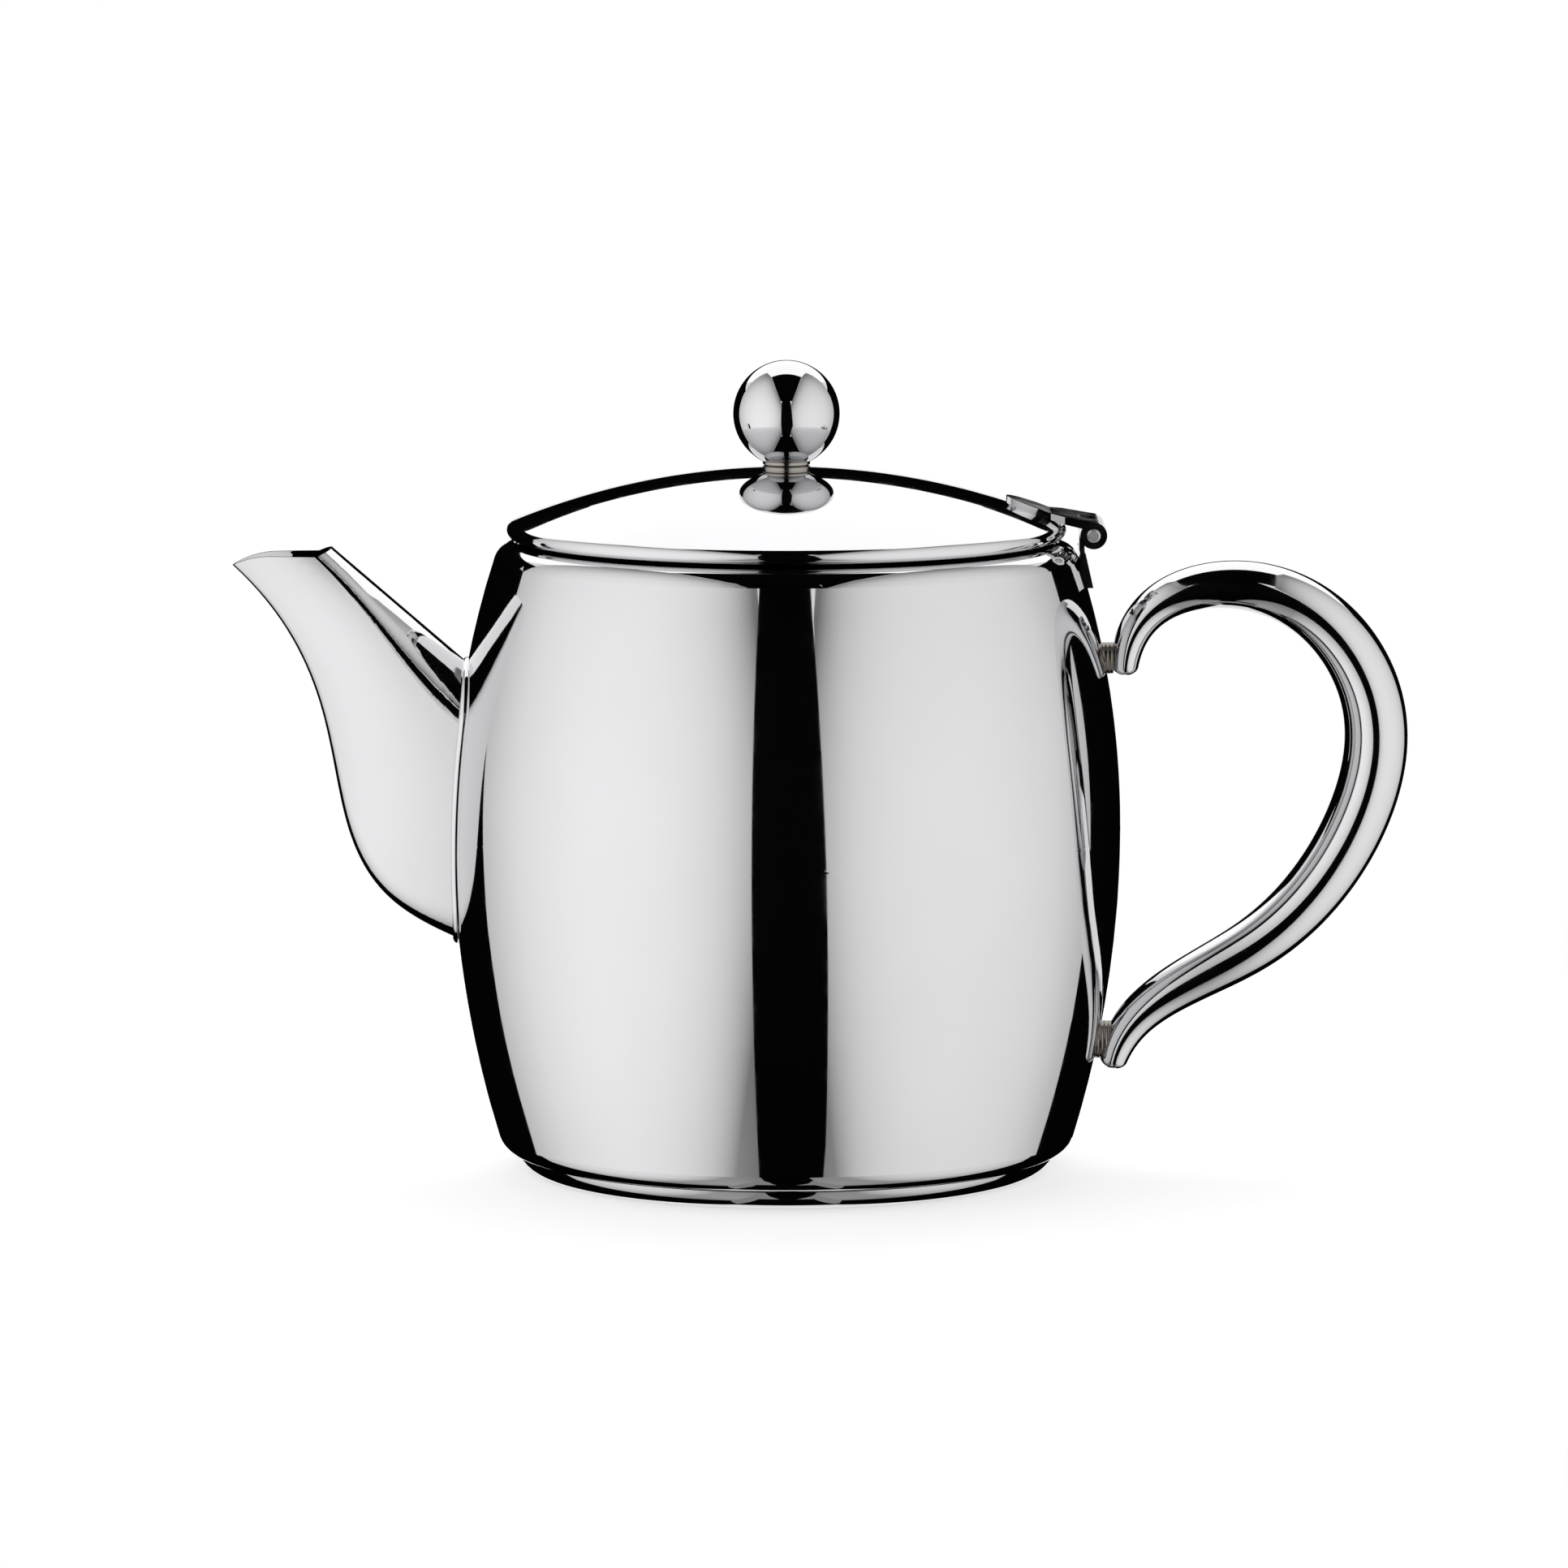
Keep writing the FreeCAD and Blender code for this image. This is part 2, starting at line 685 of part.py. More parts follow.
def draw_oval(sketch, half_width, low_part, high_part, low_radius, high_radius):
    """Oval standing on the sketch's origin, widest at the top of its low part."""
    whole = low_part + high_part

    def side_radius(part, end_radius):
        chord = part - end_radius
        square = half_width * half_width + chord * chord - end_radius * end_radius
        return square / ((half_width - end_radius) * 2)

    low_side = side_radius(low_part, low_radius)
    high_side = side_radius(high_part, high_radius)
    low_center = (ZERO, low_radius)
    high_center = (ZERO, whole - high_radius)
    low_axis = (half_width - low_side, low_part)
    high_axis = (half_width - high_side, low_part)
    low_touch = touch_point(low_axis, low_side, low_center, low_radius, ZERO)
    high_touch = touch_point(high_axis, high_side, high_center, high_radius, ZERO)

    def mirrored(point):
        return (-point[0], point[1])

    corners = [
        (*low_touch, arc(low_axis, low_side, 1)),
        (half_width, low_part, arc(high_axis, high_side, 1)),
        (*high_touch, arc(high_center, high_radius, 1)),
        (*mirrored(high_touch), arc(mirrored(high_axis), high_side, 1)),
        (-half_width, low_part, arc(mirrored(low_axis), low_side, 1)),
        (*mirrored(low_touch), arc(low_center, low_radius, 1)),
    ]
    draw_outline(sketch, corners)


def section_sketch(body, name, foot, across, along):
    """Sketch whose origin is at foot in the XZ plane and whose vertical runs along (across, along)."""
    sketch = new_sketch(body, "YZ_Plane", name)
    turn = angle_of(across, along)
    rotation = FreeCAD.Rotation(FreeCAD.Vector(1, 0, 0), turn.value)
    sketch.AttachmentOffset = FreeCAD.Placement(
        FreeCAD.Vector(0, foot[1].value, foot[0].value), rotation
    )
    sketch.setExpression("AttachmentOffset.Base.y", foot[1].text)
    sketch.setExpression("AttachmentOffset.Base.z", foot[0].text)
    sketch.setExpression("AttachmentOffset.Rotation.Angle", turn.text)
    return sketch


def blend(start, end, share):
    return start + (end - start) * share


def spout_section(body, name, share, wall):
    """Section from the lower curve to the ridge, drawn in by a wall thickness."""
    weights = [math.comb(3, power) * share**power * (1 - share) ** (3 - power) for power in range(4)]
    reaches = (-d.spout_root_inset, d.spout_belly_reach, d.spout_neck_reach, d.spout_tip_reach)
    heights = (d.spout_root_height, d.spout_belly_height, d.spout_neck_height, d.spout_tip_height)
    low_x = -d.belly_radius
    low_z = ZERO
    for weight, reach, height in zip(weights, reaches, heights):
        low_x = low_x - reach * weight
        low_z = low_z + height * weight
    high_x = -d.belly_radius - blend(-d.spout_ridge_inset, d.spout_back_reach, share)
    high_z = blend(d.spout_ridge_height, d.spout_back_height, share)
    across = high_x - low_x
    along = high_z - low_z
    length = root(across * across + along * along)
    foot = (low_x + across * (wall / length), low_z + along * (wall / length))
    sketch = section_sketch(body, name, foot, across, along)
    half_width = blend(d.spout_root_half_width, d.spout_mouth_half_width, share)
    low_part = length * blend(ROOT_WIDEST, MOUTH_WIDEST, share)
    high_part = length - low_part
    low_radius = half_width * (half_width / low_part) ** blend(ROOT_SHARPNESS, LIP_SHARPNESS, share)
    high_radius = half_width * (half_width / high_part) ** blend(ROOT_SHARPNESS, BACK_SHARPNESS, share)
    inner = [size - wall for size in (half_width, low_part, high_part, low_radius, high_radius)]
    draw_oval(sketch, *inner)
    return sketch


def keep_half(body, side, left, right, low, high):
    """Cut away the half of a piece on the far side of the XZ plane."""

    def far_side(sketch):
        draw_rectangle(sketch, left, right, low, high)

    pocket(body, "seam", "XZ_Plane", far_side, both_ways=False, reversed_way=side > 0)


def make_spout_half(name, side):
    body = new_body(name)
    for kind, wall in (("AdditiveLoft", ZERO), ("SubtractiveLoft", d.spout_wall)):
        sections = [
            spout_section(body, f"{name}_{kind}_{number}", share, wall)
            for number, share in enumerate(SPOUT_STATIONS)
        ]
        loft(body, kind, f"{name}_{kind}", sections)
    revolve(body, "Groove", "pot_seat", POT_REGION)
    back = (-d.belly_radius - d.spout_back_reach, d.spout_back_height)
    flat_height = back[1] - d.spout_mouth_drop
    flat_back = back[0] - d.spout_mouth_ramp
    flat_front = flat_back - d.spout_mouth_flat
    droop = d.spout_droop_radius
    droop_axis = (flat_front, flat_height - droop)
    high = back[1] + SPARE

    def mouth(sketch):
        corners = [
            (flat_front - droop, flat_height - droop, arc(droop_axis, droop, -1)),
            (flat_front, flat_height, None),
            (flat_back, flat_height, None),
            (*back, None),
            (back[0] + d.spout_mouth_ramp, high, None),
            (flat_front - droop, high, None),
        ]
        draw_outline(sketch, corners)

    pocket(body, "mouth", "XZ_Plane", mouth)
    tip = -(d.belly_radius + d.spout_tip_reach + SPARE)
    keep_half(body, side, tip, ZERO, d.spout_root_height - SPARE, high)
    return body


UPPER_END = (
    pot_radius(d.handle_upper_height) + d.handle_upper_gap + d.handle_end_thickness / 2,
    d.handle_upper_height,
)
LOWER_END = (
    pot_radius(d.handle_lower_height) + d.handle_lower_gap + d.handle_end_thickness / 2,
    d.handle_lower_height,
)
HANDLE_POLES = (
    UPPER_END,
    (UPPER_END[0], UPPER_END[1] + d.handle_hook_rise),
    (UPPER_END[0] + d.handle_crown_run, UPPER_END[1] + d.handle_crown_rise),
    (UPPER_END[0] + d.handle_back_run, UPPER_END[1] + d.handle_back_rise),
    (UPPER_END[0] + d.handle_grip_run, UPPER_END[1] - d.handle_grip_drop),
    (UPPER_END[0] + d.handle_under_run, UPPER_END[1] - d.handle_under_drop),
    (LOWER_END[0] + d.handle_foot_run, LOWER_END[1] + d.handle_foot_rise),
    LOWER_END,
)


def spline_weights(share, degree, count):
    """Weights of a clamped, evenly knotted spline's poles, and of its direction."""
    spans = count - degree
    knots = [0.0] * degree + [step / spans for step in range(spans + 1)] + [1.0] * degree

    def basis(place, order):
        if order == 0:
            last = place == count - 1 and share >= 1
            return 1.0 if last or knots[place] <= share < knots[place + 1] else 0.0
        total = 0.0
        rise = knots[place + order] - knots[place]
        fall = knots[place + order + 1] - knots[place + 1]
        if rise:
            total += (share - knots[place]) / rise * basis(place, order - 1)
        if fall:
            total += (knots[place + order + 1] - share) / fall * basis(place + 1, order - 1)
        return total

    def slope(place):
        total = 0.0
        rise = knots[place + degree] - knots[place]
        fall = knots[place + degree + 1] - knots[place + 1]
        if rise:
            total += basis(place, degree - 1) / rise
        if fall:
            total -= basis(place + 1, degree - 1) / fall
        return total

    return [basis(place, degree) for place in range(count)], [slope(place) for place in range(count)]


def weighed(weights, axis):
    total = ZERO
    for weight, pole in zip(weights, HANDLE_POLES):
        if weight:
            total = total + pole[axis] * weight
    return total


def handle_section(body, name, share, wall):
    places, slopes = spline_weights(share, HANDLE_DEGREE, len(HANDLE_POLES))
    middle = [weighed(places, axis) for axis in range(2)]
    run = [weighed(slopes, axis) for axis in range(2)]
    length = root(run[0] * run[0] + run[1] * run[1])
    across = -run[1] / length
    along = run[0] / length
    swell = math.sin(math.pi * share**1.12) ** 0.6 if 0 < share < 1 else 0.0
    half_thickness = blend(d.handle_end_thickness, d.handle_grip_thickness, swell) / 2
    half_width = blend(d.handle_end_width, d.handle_grip_width, swell) / 2
    face_radius = half_width * half_width / half_thickness * 1.15
    part = half_thickness - wall
    foot = (middle[0] - across * part, middle[1] - along * part)
    sketch = section_sketch(body, name, foot, across, along)
    draw_oval(sketch, half_width - wall, part, part, face_radius - wall, face_radius - wall)
    return sketch


def handle_loft(body, kind, wall, first, last):
    shares = [first, *HANDLE_STATIONS[1:-1], last]
    sections = [
        handle_section(body, f"{body.Label}_{kind}_{number}", share, wall)
        for number, share in enumerate(shares)
    ]
    loft(body, kind, f"{body.Label}_{kind}", sections)


def make_handle_half(name, side):
    body = new_body(name)
    handle_loft(body, "AdditiveLoft", ZERO, 0.0, 1.0)
    handle_loft(body, "SubtractiveLoft", d.handle_wall, HANDLE_HOLLOW_END, 1.0 - HANDLE_HOLLOW_END)
    reach = UPPER_END[0] + d.handle_grip_run + SPARE
    high = UPPER_END[1] + d.handle_crown_rise + SPARE
    keep_half(body, side, ZERO, reach, LOWER_END[1] - SPARE, high)
    return body


def make_post(name, radius, height, far_end, tools):
    """Round post along X, trimmed to the pot on one side and to the handle on the other."""
    blank = doc.addObject("Part::Cylinder", name + "_blank")
    start = pot_radius(height) - SPARE
    blank.setExpression("Radius", radius.text)
    blank.setExpression("Height", (far_end - start).text)
    turned = FreeCAD.Rotation(FreeCAD.Vector(0, 1, 0), 90)
    blank.Placement = FreeCAD.Placement(FreeCAD.Vector(start.value, 0, height.value), turned)
    blank.setExpression("Placement.Base.x", start.text)
    blank.setExpression("Placement.Base.z", height.text)
    piece = blank
    for tool in tools:
        trimmed = doc.addObject("Part::Cut", name)
        trimmed.Base = piece
        trimmed.Tool = tool
        piece = trimmed
    piece.Label = name
    return piece


pot_envelope = new_body("pot_envelope")
revolve(pot_envelope, "Revolution", "pot_solid", POT_REGION)
handle_envelope = new_body("handle_envelope")
handle_loft(handle_envelope, "AdditiveLoft", ZERO, 0.0, 1.0)
post_tools = (pot_envelope, handle_envelope)
upper_post_height = d.handle_upper_height + d.post_upper_radius
lower_post_height = d.handle_lower_height + d.post_lower_radius + d.handle_lower_gap

nodes = {
    "pot_shell": make_pot(),
    "base_cap": make_base(),
    "spout_left_half": make_spout_half("spout_left_half", -1),
    "spout_right_half": make_spout_half("spout_right_half", 1),
    "handle_left_half": make_handle_half("handle_left_half", -1),
    "handle_right_half": make_handle_half("handle_right_half", 1),
    "handle_upper_post": make_post(
        "handle_upper_post", d.post_upper_radius, upper_post_height, UPPER_END[0], post_tools
    ),
    "handle_lower_post": make_post(
        "handle_lower_post", d.post_lower_radius, lower_post_height, LOWER_END[0], post_tools
    ),
    "hinge_body_leaf": make_body_leaf(),
    "hinge_pin": make_pin(),
    "hinge_lid_strap": make_lid_strap(),
    "lid_shell": make_lid(),
    "lid_locating_ring": make_lid_ring(),
    "knob_ball": make_knob(),
    "knob_collar": make_collar(),
    "knob_screw": make_knob_screw(),
}
doc.recompute()

for item in doc.Objects:
    if {"Invalid", "Error"} & set(item.State):
        raise RuntimeError(f"{item.Label} failed: {item.State}")
for name, piece in nodes.items():
    if piece.Shape.isNull() or not piece.Shape.isValid():
        raise RuntimeError(f"{name} has no valid shape")

os.makedirs("parts", exist_ok=True)
for name, piece in nodes.items():
    piece.Shape.exportStep(f"parts/{name}.step")
    box = piece.Shape.BoundBox
    print(f"{name}: {len(piece.Shape.Solids)} solid, {piece.Shape.Volume:.1f} mm3, {box}")
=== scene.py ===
import json
import math

import bmesh
import bpy
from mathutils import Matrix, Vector


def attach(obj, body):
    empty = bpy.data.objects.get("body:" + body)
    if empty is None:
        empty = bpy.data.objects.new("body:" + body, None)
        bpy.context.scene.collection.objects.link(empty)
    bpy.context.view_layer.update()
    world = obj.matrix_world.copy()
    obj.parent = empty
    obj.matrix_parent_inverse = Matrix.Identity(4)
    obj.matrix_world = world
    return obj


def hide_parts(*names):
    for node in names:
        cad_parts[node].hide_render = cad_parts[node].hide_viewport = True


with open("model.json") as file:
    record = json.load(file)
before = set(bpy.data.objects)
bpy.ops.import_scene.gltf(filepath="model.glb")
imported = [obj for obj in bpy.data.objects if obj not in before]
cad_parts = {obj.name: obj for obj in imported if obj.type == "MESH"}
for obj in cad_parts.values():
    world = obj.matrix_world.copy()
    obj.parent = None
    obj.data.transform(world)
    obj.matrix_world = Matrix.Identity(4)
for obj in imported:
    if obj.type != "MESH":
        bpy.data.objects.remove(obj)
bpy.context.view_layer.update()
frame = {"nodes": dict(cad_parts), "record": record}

nodes = frame["nodes"]
MM = 0.001


def mm(x, y, z):
    """A point given in millimetres."""
    return Vector((x, y, z)) * MM


# Materials

CLOUD_SCALE = 35.0
CLOUD_DETAIL = 3.0
BUFF_SCALE = 240.0
BUFF_DETAIL = 2.0
STREAK_SCALE = 60.0
STREAK_STRETCH = 40.0
RING_SCALE = 420.0
RING_STRENGTH = 0.6
RING_DEPTH = 0.1
EVEN = (1.0, 1.0, 1.0)
ALONG_X = (STREAK_STRETCH, 1.0, 1.0)
ALONG_Z = (1.0, 1.0, STREAK_STRETCH)

PALE = (0.67, 0.67, 0.68)
DULL = (0.62, 0.62, 0.63)
WORN = (0.56, 0.56, 0.57)
MACHINED = (0.46, 0.46, 0.47)
PIN_PALE = (0.58, 0.58, 0.59)
POST_DARK = (0.14, 0.12, 0.10)
POST_PALE = (0.32, 0.29, 0.26)
COLLAR_DARK = (0.22, 0.20, 0.18)
COLLAR_PALE = (0.43, 0.41, 0.38)


def node_material(name):
    material = bpy.data.materials.new(name)
    material.use_nodes = True
    tree = material.node_tree
    tree.nodes.clear()
    output = tree.nodes.new("ShaderNodeOutputMaterial")
    return material, tree, output


def noise(tree, scale, detail, stretch=EVEN):
    """Noise in the piece's own coordinates, finer along a stretched axis."""
    place = tree.nodes.new("ShaderNodeTexCoord")
    mapping = tree.nodes.new("ShaderNodeMapping")
    mapping.inputs["Scale"].default_value = stretch
    texture = tree.nodes.new("ShaderNodeTexNoise")
    texture.inputs["Scale"].default_value = scale
    texture.inputs["Detail"].default_value = detail
    tree.links.new(place.outputs["Object"], mapping.inputs["Vector"])
    tree.links.new(mapping.outputs["Vector"], texture.inputs["Vector"])
    return texture.outputs["Fac"]


def spread(tree, source, low, high, start=0.3, end=0.7):
    """A value between start and end, spread over a range. The default suits noise."""
    ramp = tree.nodes.new("ShaderNodeMapRange")
    ramp.inputs["From Min"].default_value = start
    ramp.inputs["From Max"].default_value = end
    ramp.inputs["To Min"].default_value = low
    ramp.inputs["To Max"].default_value = high
    tree.links.new(source, ramp.inputs["Value"])
    return ramp.outputs["Result"]


def combine(tree, operation, first, second):
    """Works out one value from a socket and another socket or a number."""
    node = tree.nodes.new("ShaderNodeMath")
    node.operation = operation
    tree.links.new(first, node.inputs[0])
    if isinstance(second, float):
        node.inputs[1].default_value = second
    else:
        tree.links.new(second, node.inputs[1])
    return node.outputs["Value"]


def blend_colours(tree, factor, first, second):
    mix = tree.nodes.new("ShaderNodeMix")
    mix.data_type = "RGBA"
    mix.inputs[6].default_value = (*first, 1.0)
    mix.inputs[7].default_value = (*second, 1.0)
    tree.links.new(factor, mix.inputs[0])
    return mix.outputs[2]


def turned_rings(tree, axis):
    """Normals of fine grooves across an axis, as a lathe leaves them."""
    place = tree.nodes.new("ShaderNodeTexCoord")
    grooves = tree.nodes.new("ShaderNodeTexWave")
    grooves.bands_direction = axis
    grooves.inputs["Scale"].default_value = RING_SCALE
    grooves.inputs["Distortion"].default_value = 0.0
    bump = tree.nodes.new("ShaderNodeBump")
    bump.inputs["Strength"].default_value = RING_STRENGTH
    bump.inputs["Distance"].default_value = RING_DEPTH * MM
    tree.links.new(place.outputs["Object"], grooves.inputs["Vector"])
    tree.links.new(grooves.outputs["Fac"], bump.inputs["Height"])
    return bump.outputs["Normal"]


def steel(name, dark, pale, smooth, hazed, brush=EVEN, brush_scale=BUFF_SCALE, rings=None):
    """Polished steel: faint cloudy colour, polish that varies, a trace of buffing, and rings across an axis."""
    material, tree, output = node_material(name)
    shader = tree.nodes.new("ShaderNodeBsdfPrincipled")
    shader.inputs["Metallic"].default_value = 1.0
    clouds = noise(tree, CLOUD_SCALE, CLOUD_DETAIL)
    buffing = noise(tree, brush_scale, BUFF_DETAIL, brush)
    tree.links.new(blend_colours(tree, clouds, dark, pale), shader.inputs["Base Color"])
    tree.links.new(spread(tree, buffing, smooth, hazed), shader.inputs["Roughness"])
    if rings:
        tree.links.new(turned_rings(tree, rings), shader.inputs["Normal"])
    tree.links.new(shader.outputs["BSDF"], output.inputs["Surface"])
    return material


finishes = {
    "body_steel": steel("body_steel", DULL, PALE, 0.02, 0.05),
    "spout_steel": steel("spout_steel", DULL, PALE, 0.03, 0.07),
    "handle_steel": steel("handle_steel", DULL, PALE, 0.03, 0.08),
    "tinted_steel": steel("post_steel", POST_DARK, POST_PALE, 0.10, 0.30, ALONG_X, STREAK_SCALE, "X"),
    "hinge_steel": steel("hinge_steel", WORN, PALE, 0.05, 0.14),
    "lid_steel": steel("lid_steel", DULL, PALE, 0.02, 0.05),
    "knob_steel": steel("knob_steel", DULL, PALE, 0.02, 0.04),
    "screw_steel": steel("screw_steel", MACHINED, WORN, 0.2, 0.35),
}
# Finishes of single pieces within a slot
own_finish = {
    "knob_collar": steel("collar_steel", COLLAR_DARK, COLLAR_PALE, 0.10, 0.26, ALONG_Z, STREAK_SCALE),
    "hinge_pin": steel("pin_steel", MACHINED, PIN_PALE, 0.30, 0.45),
}

slot_of = {part["node"]: part["material_slot"] for part in frame["record"]["subparts"]}
for name, node in nodes.items():
    node.data.materials.clear()
    node.data.materials.append(own_finish.get(name, finishes[slot_of[name]]))


# Pieces that stand for CAD nodes, and the weld bead

SHARP_ANGLE = math.radians(40.0)


def add_piece(name, mesh, body, slot, *stands_for):
    """Adds a piece that rides on a body and shows in place of CAD nodes."""
    mesh.set_sharp_from_angle(angle=SHARP_ANGLE)
    mesh.materials.append(finishes[slot])
    piece = bpy.data.objects.new(name, mesh)
    bpy.context.scene.collection.objects.link(piece)
    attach(piece, body)
    if stands_for:
        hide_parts(*stands_for)
    return piece


def skin(name, rows, round_rows=True, caps=False):
    """Mesh through closed rows of points, joined from the last row to the first or closed by end caps."""
    count = len(rows[0])
    points = [point for row in rows for point in row]
    faces = []
    for number in range(len(rows) - (0 if round_rows else 1)):
        here = number * count
        there = (number + 1) % len(rows) * count
        for side in range(count):
            after = (side + 1) % count
            faces.append((here + side, here + after, there + after, there + side))
    if caps:
        faces.append(tuple(reversed(range(count))))
        faces.append(tuple(range(len(points) - count, len(points))))
    mesh = bpy.data.meshes.new(name)
    mesh.from_pydata(points, [], faces)
    mesh.shade_smooth()
    work = bmesh.new()
    work.from_mesh(mesh)
    bmesh.ops.recalc_face_normals(work, faces=work.faces)
    work.to_mesh(mesh)
    work.free()
    return mesh


def full_turn(steps):
    """Angles evenly round a circle."""
    return [2 * math.pi * step / steps for step in range(steps)]


def arc_points(middle, radius, start, end, steps):
    """Points on an arc in the half plane of a turned profile, with angles in degrees from outwards."""
    angles = [math.radians(start + (end - start) * step / steps) for step in range(steps + 1)]
    return [(middle[0] + radius * math.cos(a), middle[1] + radius * math.sin(a)) for a in angles]


def turned(name, profile, sides):
    rows = [
        [mm(r * math.cos(turn), r * math.sin(turn), z) for r, z in profile]
        for turn in full_turn(sides)
    ]
    return skin(name, rows)


# Lid: one shallow dome that runs smoothly into its rolled rim

DOME_MIDDLE = (0.0, -4.70)
DOME_RADIUS = 136.0
ROLL_MIDDLE = (50.4, 120.0)
ROLL_RADIUS = 1.5
ROLL_END = -90.0
LID_WALL = 0.8
LID_HEM = 2.0
SCREW_HOLE = 2.15
DOME_STEPS = 48
INNER_DOME_STEPS = 32
ROLL_STEPS = 40
INNER_ROLL_STEPS = 20
LID_SIDES = 288


def lid_profile():
    """Outer face from the screw hole to the hem, then the inner face back to the hole."""
    roll_start = math.degrees(math.atan2(ROLL_MIDDLE[1] - DOME_MIDDLE[1], ROLL_MIDDLE[0]))
    inner_radius = DOME_RADIUS - LID_WALL
    outer_hole = math.degrees(math.acos(SCREW_HOLE / DOME_RADIUS))
    inner_hole = math.degrees(math.acos(SCREW_HOLE / inner_radius))
    hem = ROLL_MIDDLE[0] - LID_HEM
    hem_face = ROLL_MIDDLE[1] - ROLL_RADIUS
    return (
        arc_points(DOME_MIDDLE, DOME_RADIUS, outer_hole, roll_start, DOME_STEPS)
        + arc_points(ROLL_MIDDLE, ROLL_RADIUS, roll_start, ROLL_END, ROLL_STEPS)[1:]
        + [(hem, hem_face), (hem, hem_face + LID_WALL)]
        + arc_points(ROLL_MIDDLE, ROLL_RADIUS - LID_WALL, ROLL_END, roll_start, INNER_ROLL_STEPS)
        + arc_points(DOME_MIDDLE, inner_radius, roll_start, inner_hole, INNER_DOME_STEPS)[1:]
    )


add_piece("lid_dome", turned("lid_dome", lid_profile(), LID_SIDES), "lid", "lid_steel", "lid_shell")


# Handle: both pressed halves as one polished tube with rounded ends

HANDLE_UPPER = (62.90, 93.0)
HANDLE_LOWER = (60.80, 19.2)
HANDLE_POLES = [
    HANDLE_UPPER,
    (HANDLE_UPPER[0], HANDLE_UPPER[1] + 14.2),
    (HANDLE_UPPER[0] + 26.4, HANDLE_UPPER[1] + 21.5),
    (HANDLE_UPPER[0] + 47.4, HANDLE_UPPER[1] + 1.3),
    (HANDLE_UPPER[0] + 47.8, HANDLE_UPPER[1] - 23.4),
    (HANDLE_UPPER[0] + 27.6, HANDLE_UPPER[1] - 54.3),
    (HANDLE_LOWER[0] + 2.0, HANDLE_LOWER[1] + 12.7),
    HANDLE_LOWER,
]
END_THICKNESS = 4.4
GRIP_THICKNESS = 11.8
END_WIDTH = 8.4
GRIP_WIDTH = 14.4
SWELL_SKEW = 1.12
SWELL_FULLNESS = 0.6
FACE_FULLNESS = 1.15
END_ROUNDING = 1.3
END_STEPS = 10
HANDLE_ROWS = 220
HANDLE_SIDES = 96
PATH_STEPS = 4000
PATH_NUDGE = 0.0005


def spline_point(poles, share):
    """Point on a clamped, evenly knotted cubic spline."""
    spans = len(poles) - 3
    knots = [0.0] * 3 + [step / spans for step in range(spans + 1)] + [1.0] * 3
    span = min(int(share * spans), spans - 1) + 3
    work = [Vector(poles[span - 3 + step]) for step in range(4)]
    for level in range(1, 4):
        for step in range(3, level - 1, -1):
            low = knots[span - 3 + step]
            part = (share - low) / (knots[span + 1 + step - level] - low)
            work[step] = work[step - 1].lerp(work[step], part)
    return work[3]


def oval_point(half_width, half_height, face_radius, turn):
    """Point on an oval of two broad faces and two round sides, where its surface points in a direction."""
    face_middle = half_height - face_radius
    side_radius = (half_width**2 + face_middle**2 - face_radius**2) / (2 * (half_width - face_radius))
    side_middle = half_width - side_radius
    limit = math.atan2(-face_middle, side_middle)
    out, up = math.cos(turn), math.sin(turn)
    if abs(up) > math.sin(limit):
        lift = face_middle if up > 0 else -face_middle
        return face_radius * out, lift + face_radius * up
    return math.copysign(side_middle, out) + side_radius * out, side_radius * up


def even_turns(half_width, half_height, sides):
    """Angles that spread the points of an oval evenly enough round it."""
    return [
        math.atan2(half_width * math.sin(turn), half_height * math.cos(turn)) for turn in full_turn(sides)
    ]


def handle_row(share, inset):
    """Points round the handle at a share of its path, set in by some millimetres."""
    middle = spline_point(HANDLE_POLES, share)
    ahead = spline_point(HANDLE_POLES, min(share + PATH_NUDGE, 1.0))
    behind = spline_point(HANDLE_POLES, max(share - PATH_NUDGE, 0.0))
    run = (ahead - behind).normalized()
    across = Vector((-run[1], run[0]))
    swell = math.sin(math.pi * share**SWELL_SKEW) ** SWELL_FULLNESS if 0.0 < share < 1.0 else 0.0
    half_height = (END_THICKNESS + (GRIP_THICKNESS - END_THICKNESS) * swell) / 2
    half_width = (END_WIDTH + (GRIP_WIDTH - END_WIDTH) * swell) / 2
    face_radius = half_width**2 / half_height * FACE_FULLNESS
    row = []
    for turn in even_turns(half_width, half_height, HANDLE_SIDES):
        out, up = oval_point(half_width, half_height, face_radius, turn)
        out -= inset * math.cos(turn)
        up -= inset * math.sin(turn)
        place = middle + across * up
        row.append(mm(place[0], out, place[1]))
    return row


def handle_shares():
    """Shares along the handle, each with the inset that rounds its ends."""
    fine = [spline_point(HANDLE_POLES, step / PATH_STEPS) for step in range(PATH_STEPS + 1)]
    lengths = [0.0]
    for before, after in zip(fine, fine[1:]):
        lengths.append(lengths[-1] + (after - before).length)
    whole = lengths[-1]
    ends = [END_ROUNDING * (1 - math.cos(math.pi / 2 * step / END_STEPS)) for step in range(END_STEPS)]
    pitch = (whole - 2 * END_ROUNDING) / HANDLE_ROWS
    grip = [END_ROUNDING + pitch * step for step in range(HANDLE_ROWS + 1)]
    pairs = []
    cursor = 0
    for place in ends + grip + [whole - end for end in reversed(ends)]:
        while cursor < PATH_STEPS - 1 and lengths[cursor + 1] < place:
            cursor += 1
        part = (place - lengths[cursor]) / (lengths[cursor + 1] - lengths[cursor])
        short = max(0.0, END_ROUNDING - min(place, whole - place))
        inset = END_ROUNDING - math.sqrt(END_ROUNDING**2 - short**2)
        pairs.append(((cursor + part) / PATH_STEPS, inset))
    return pairs


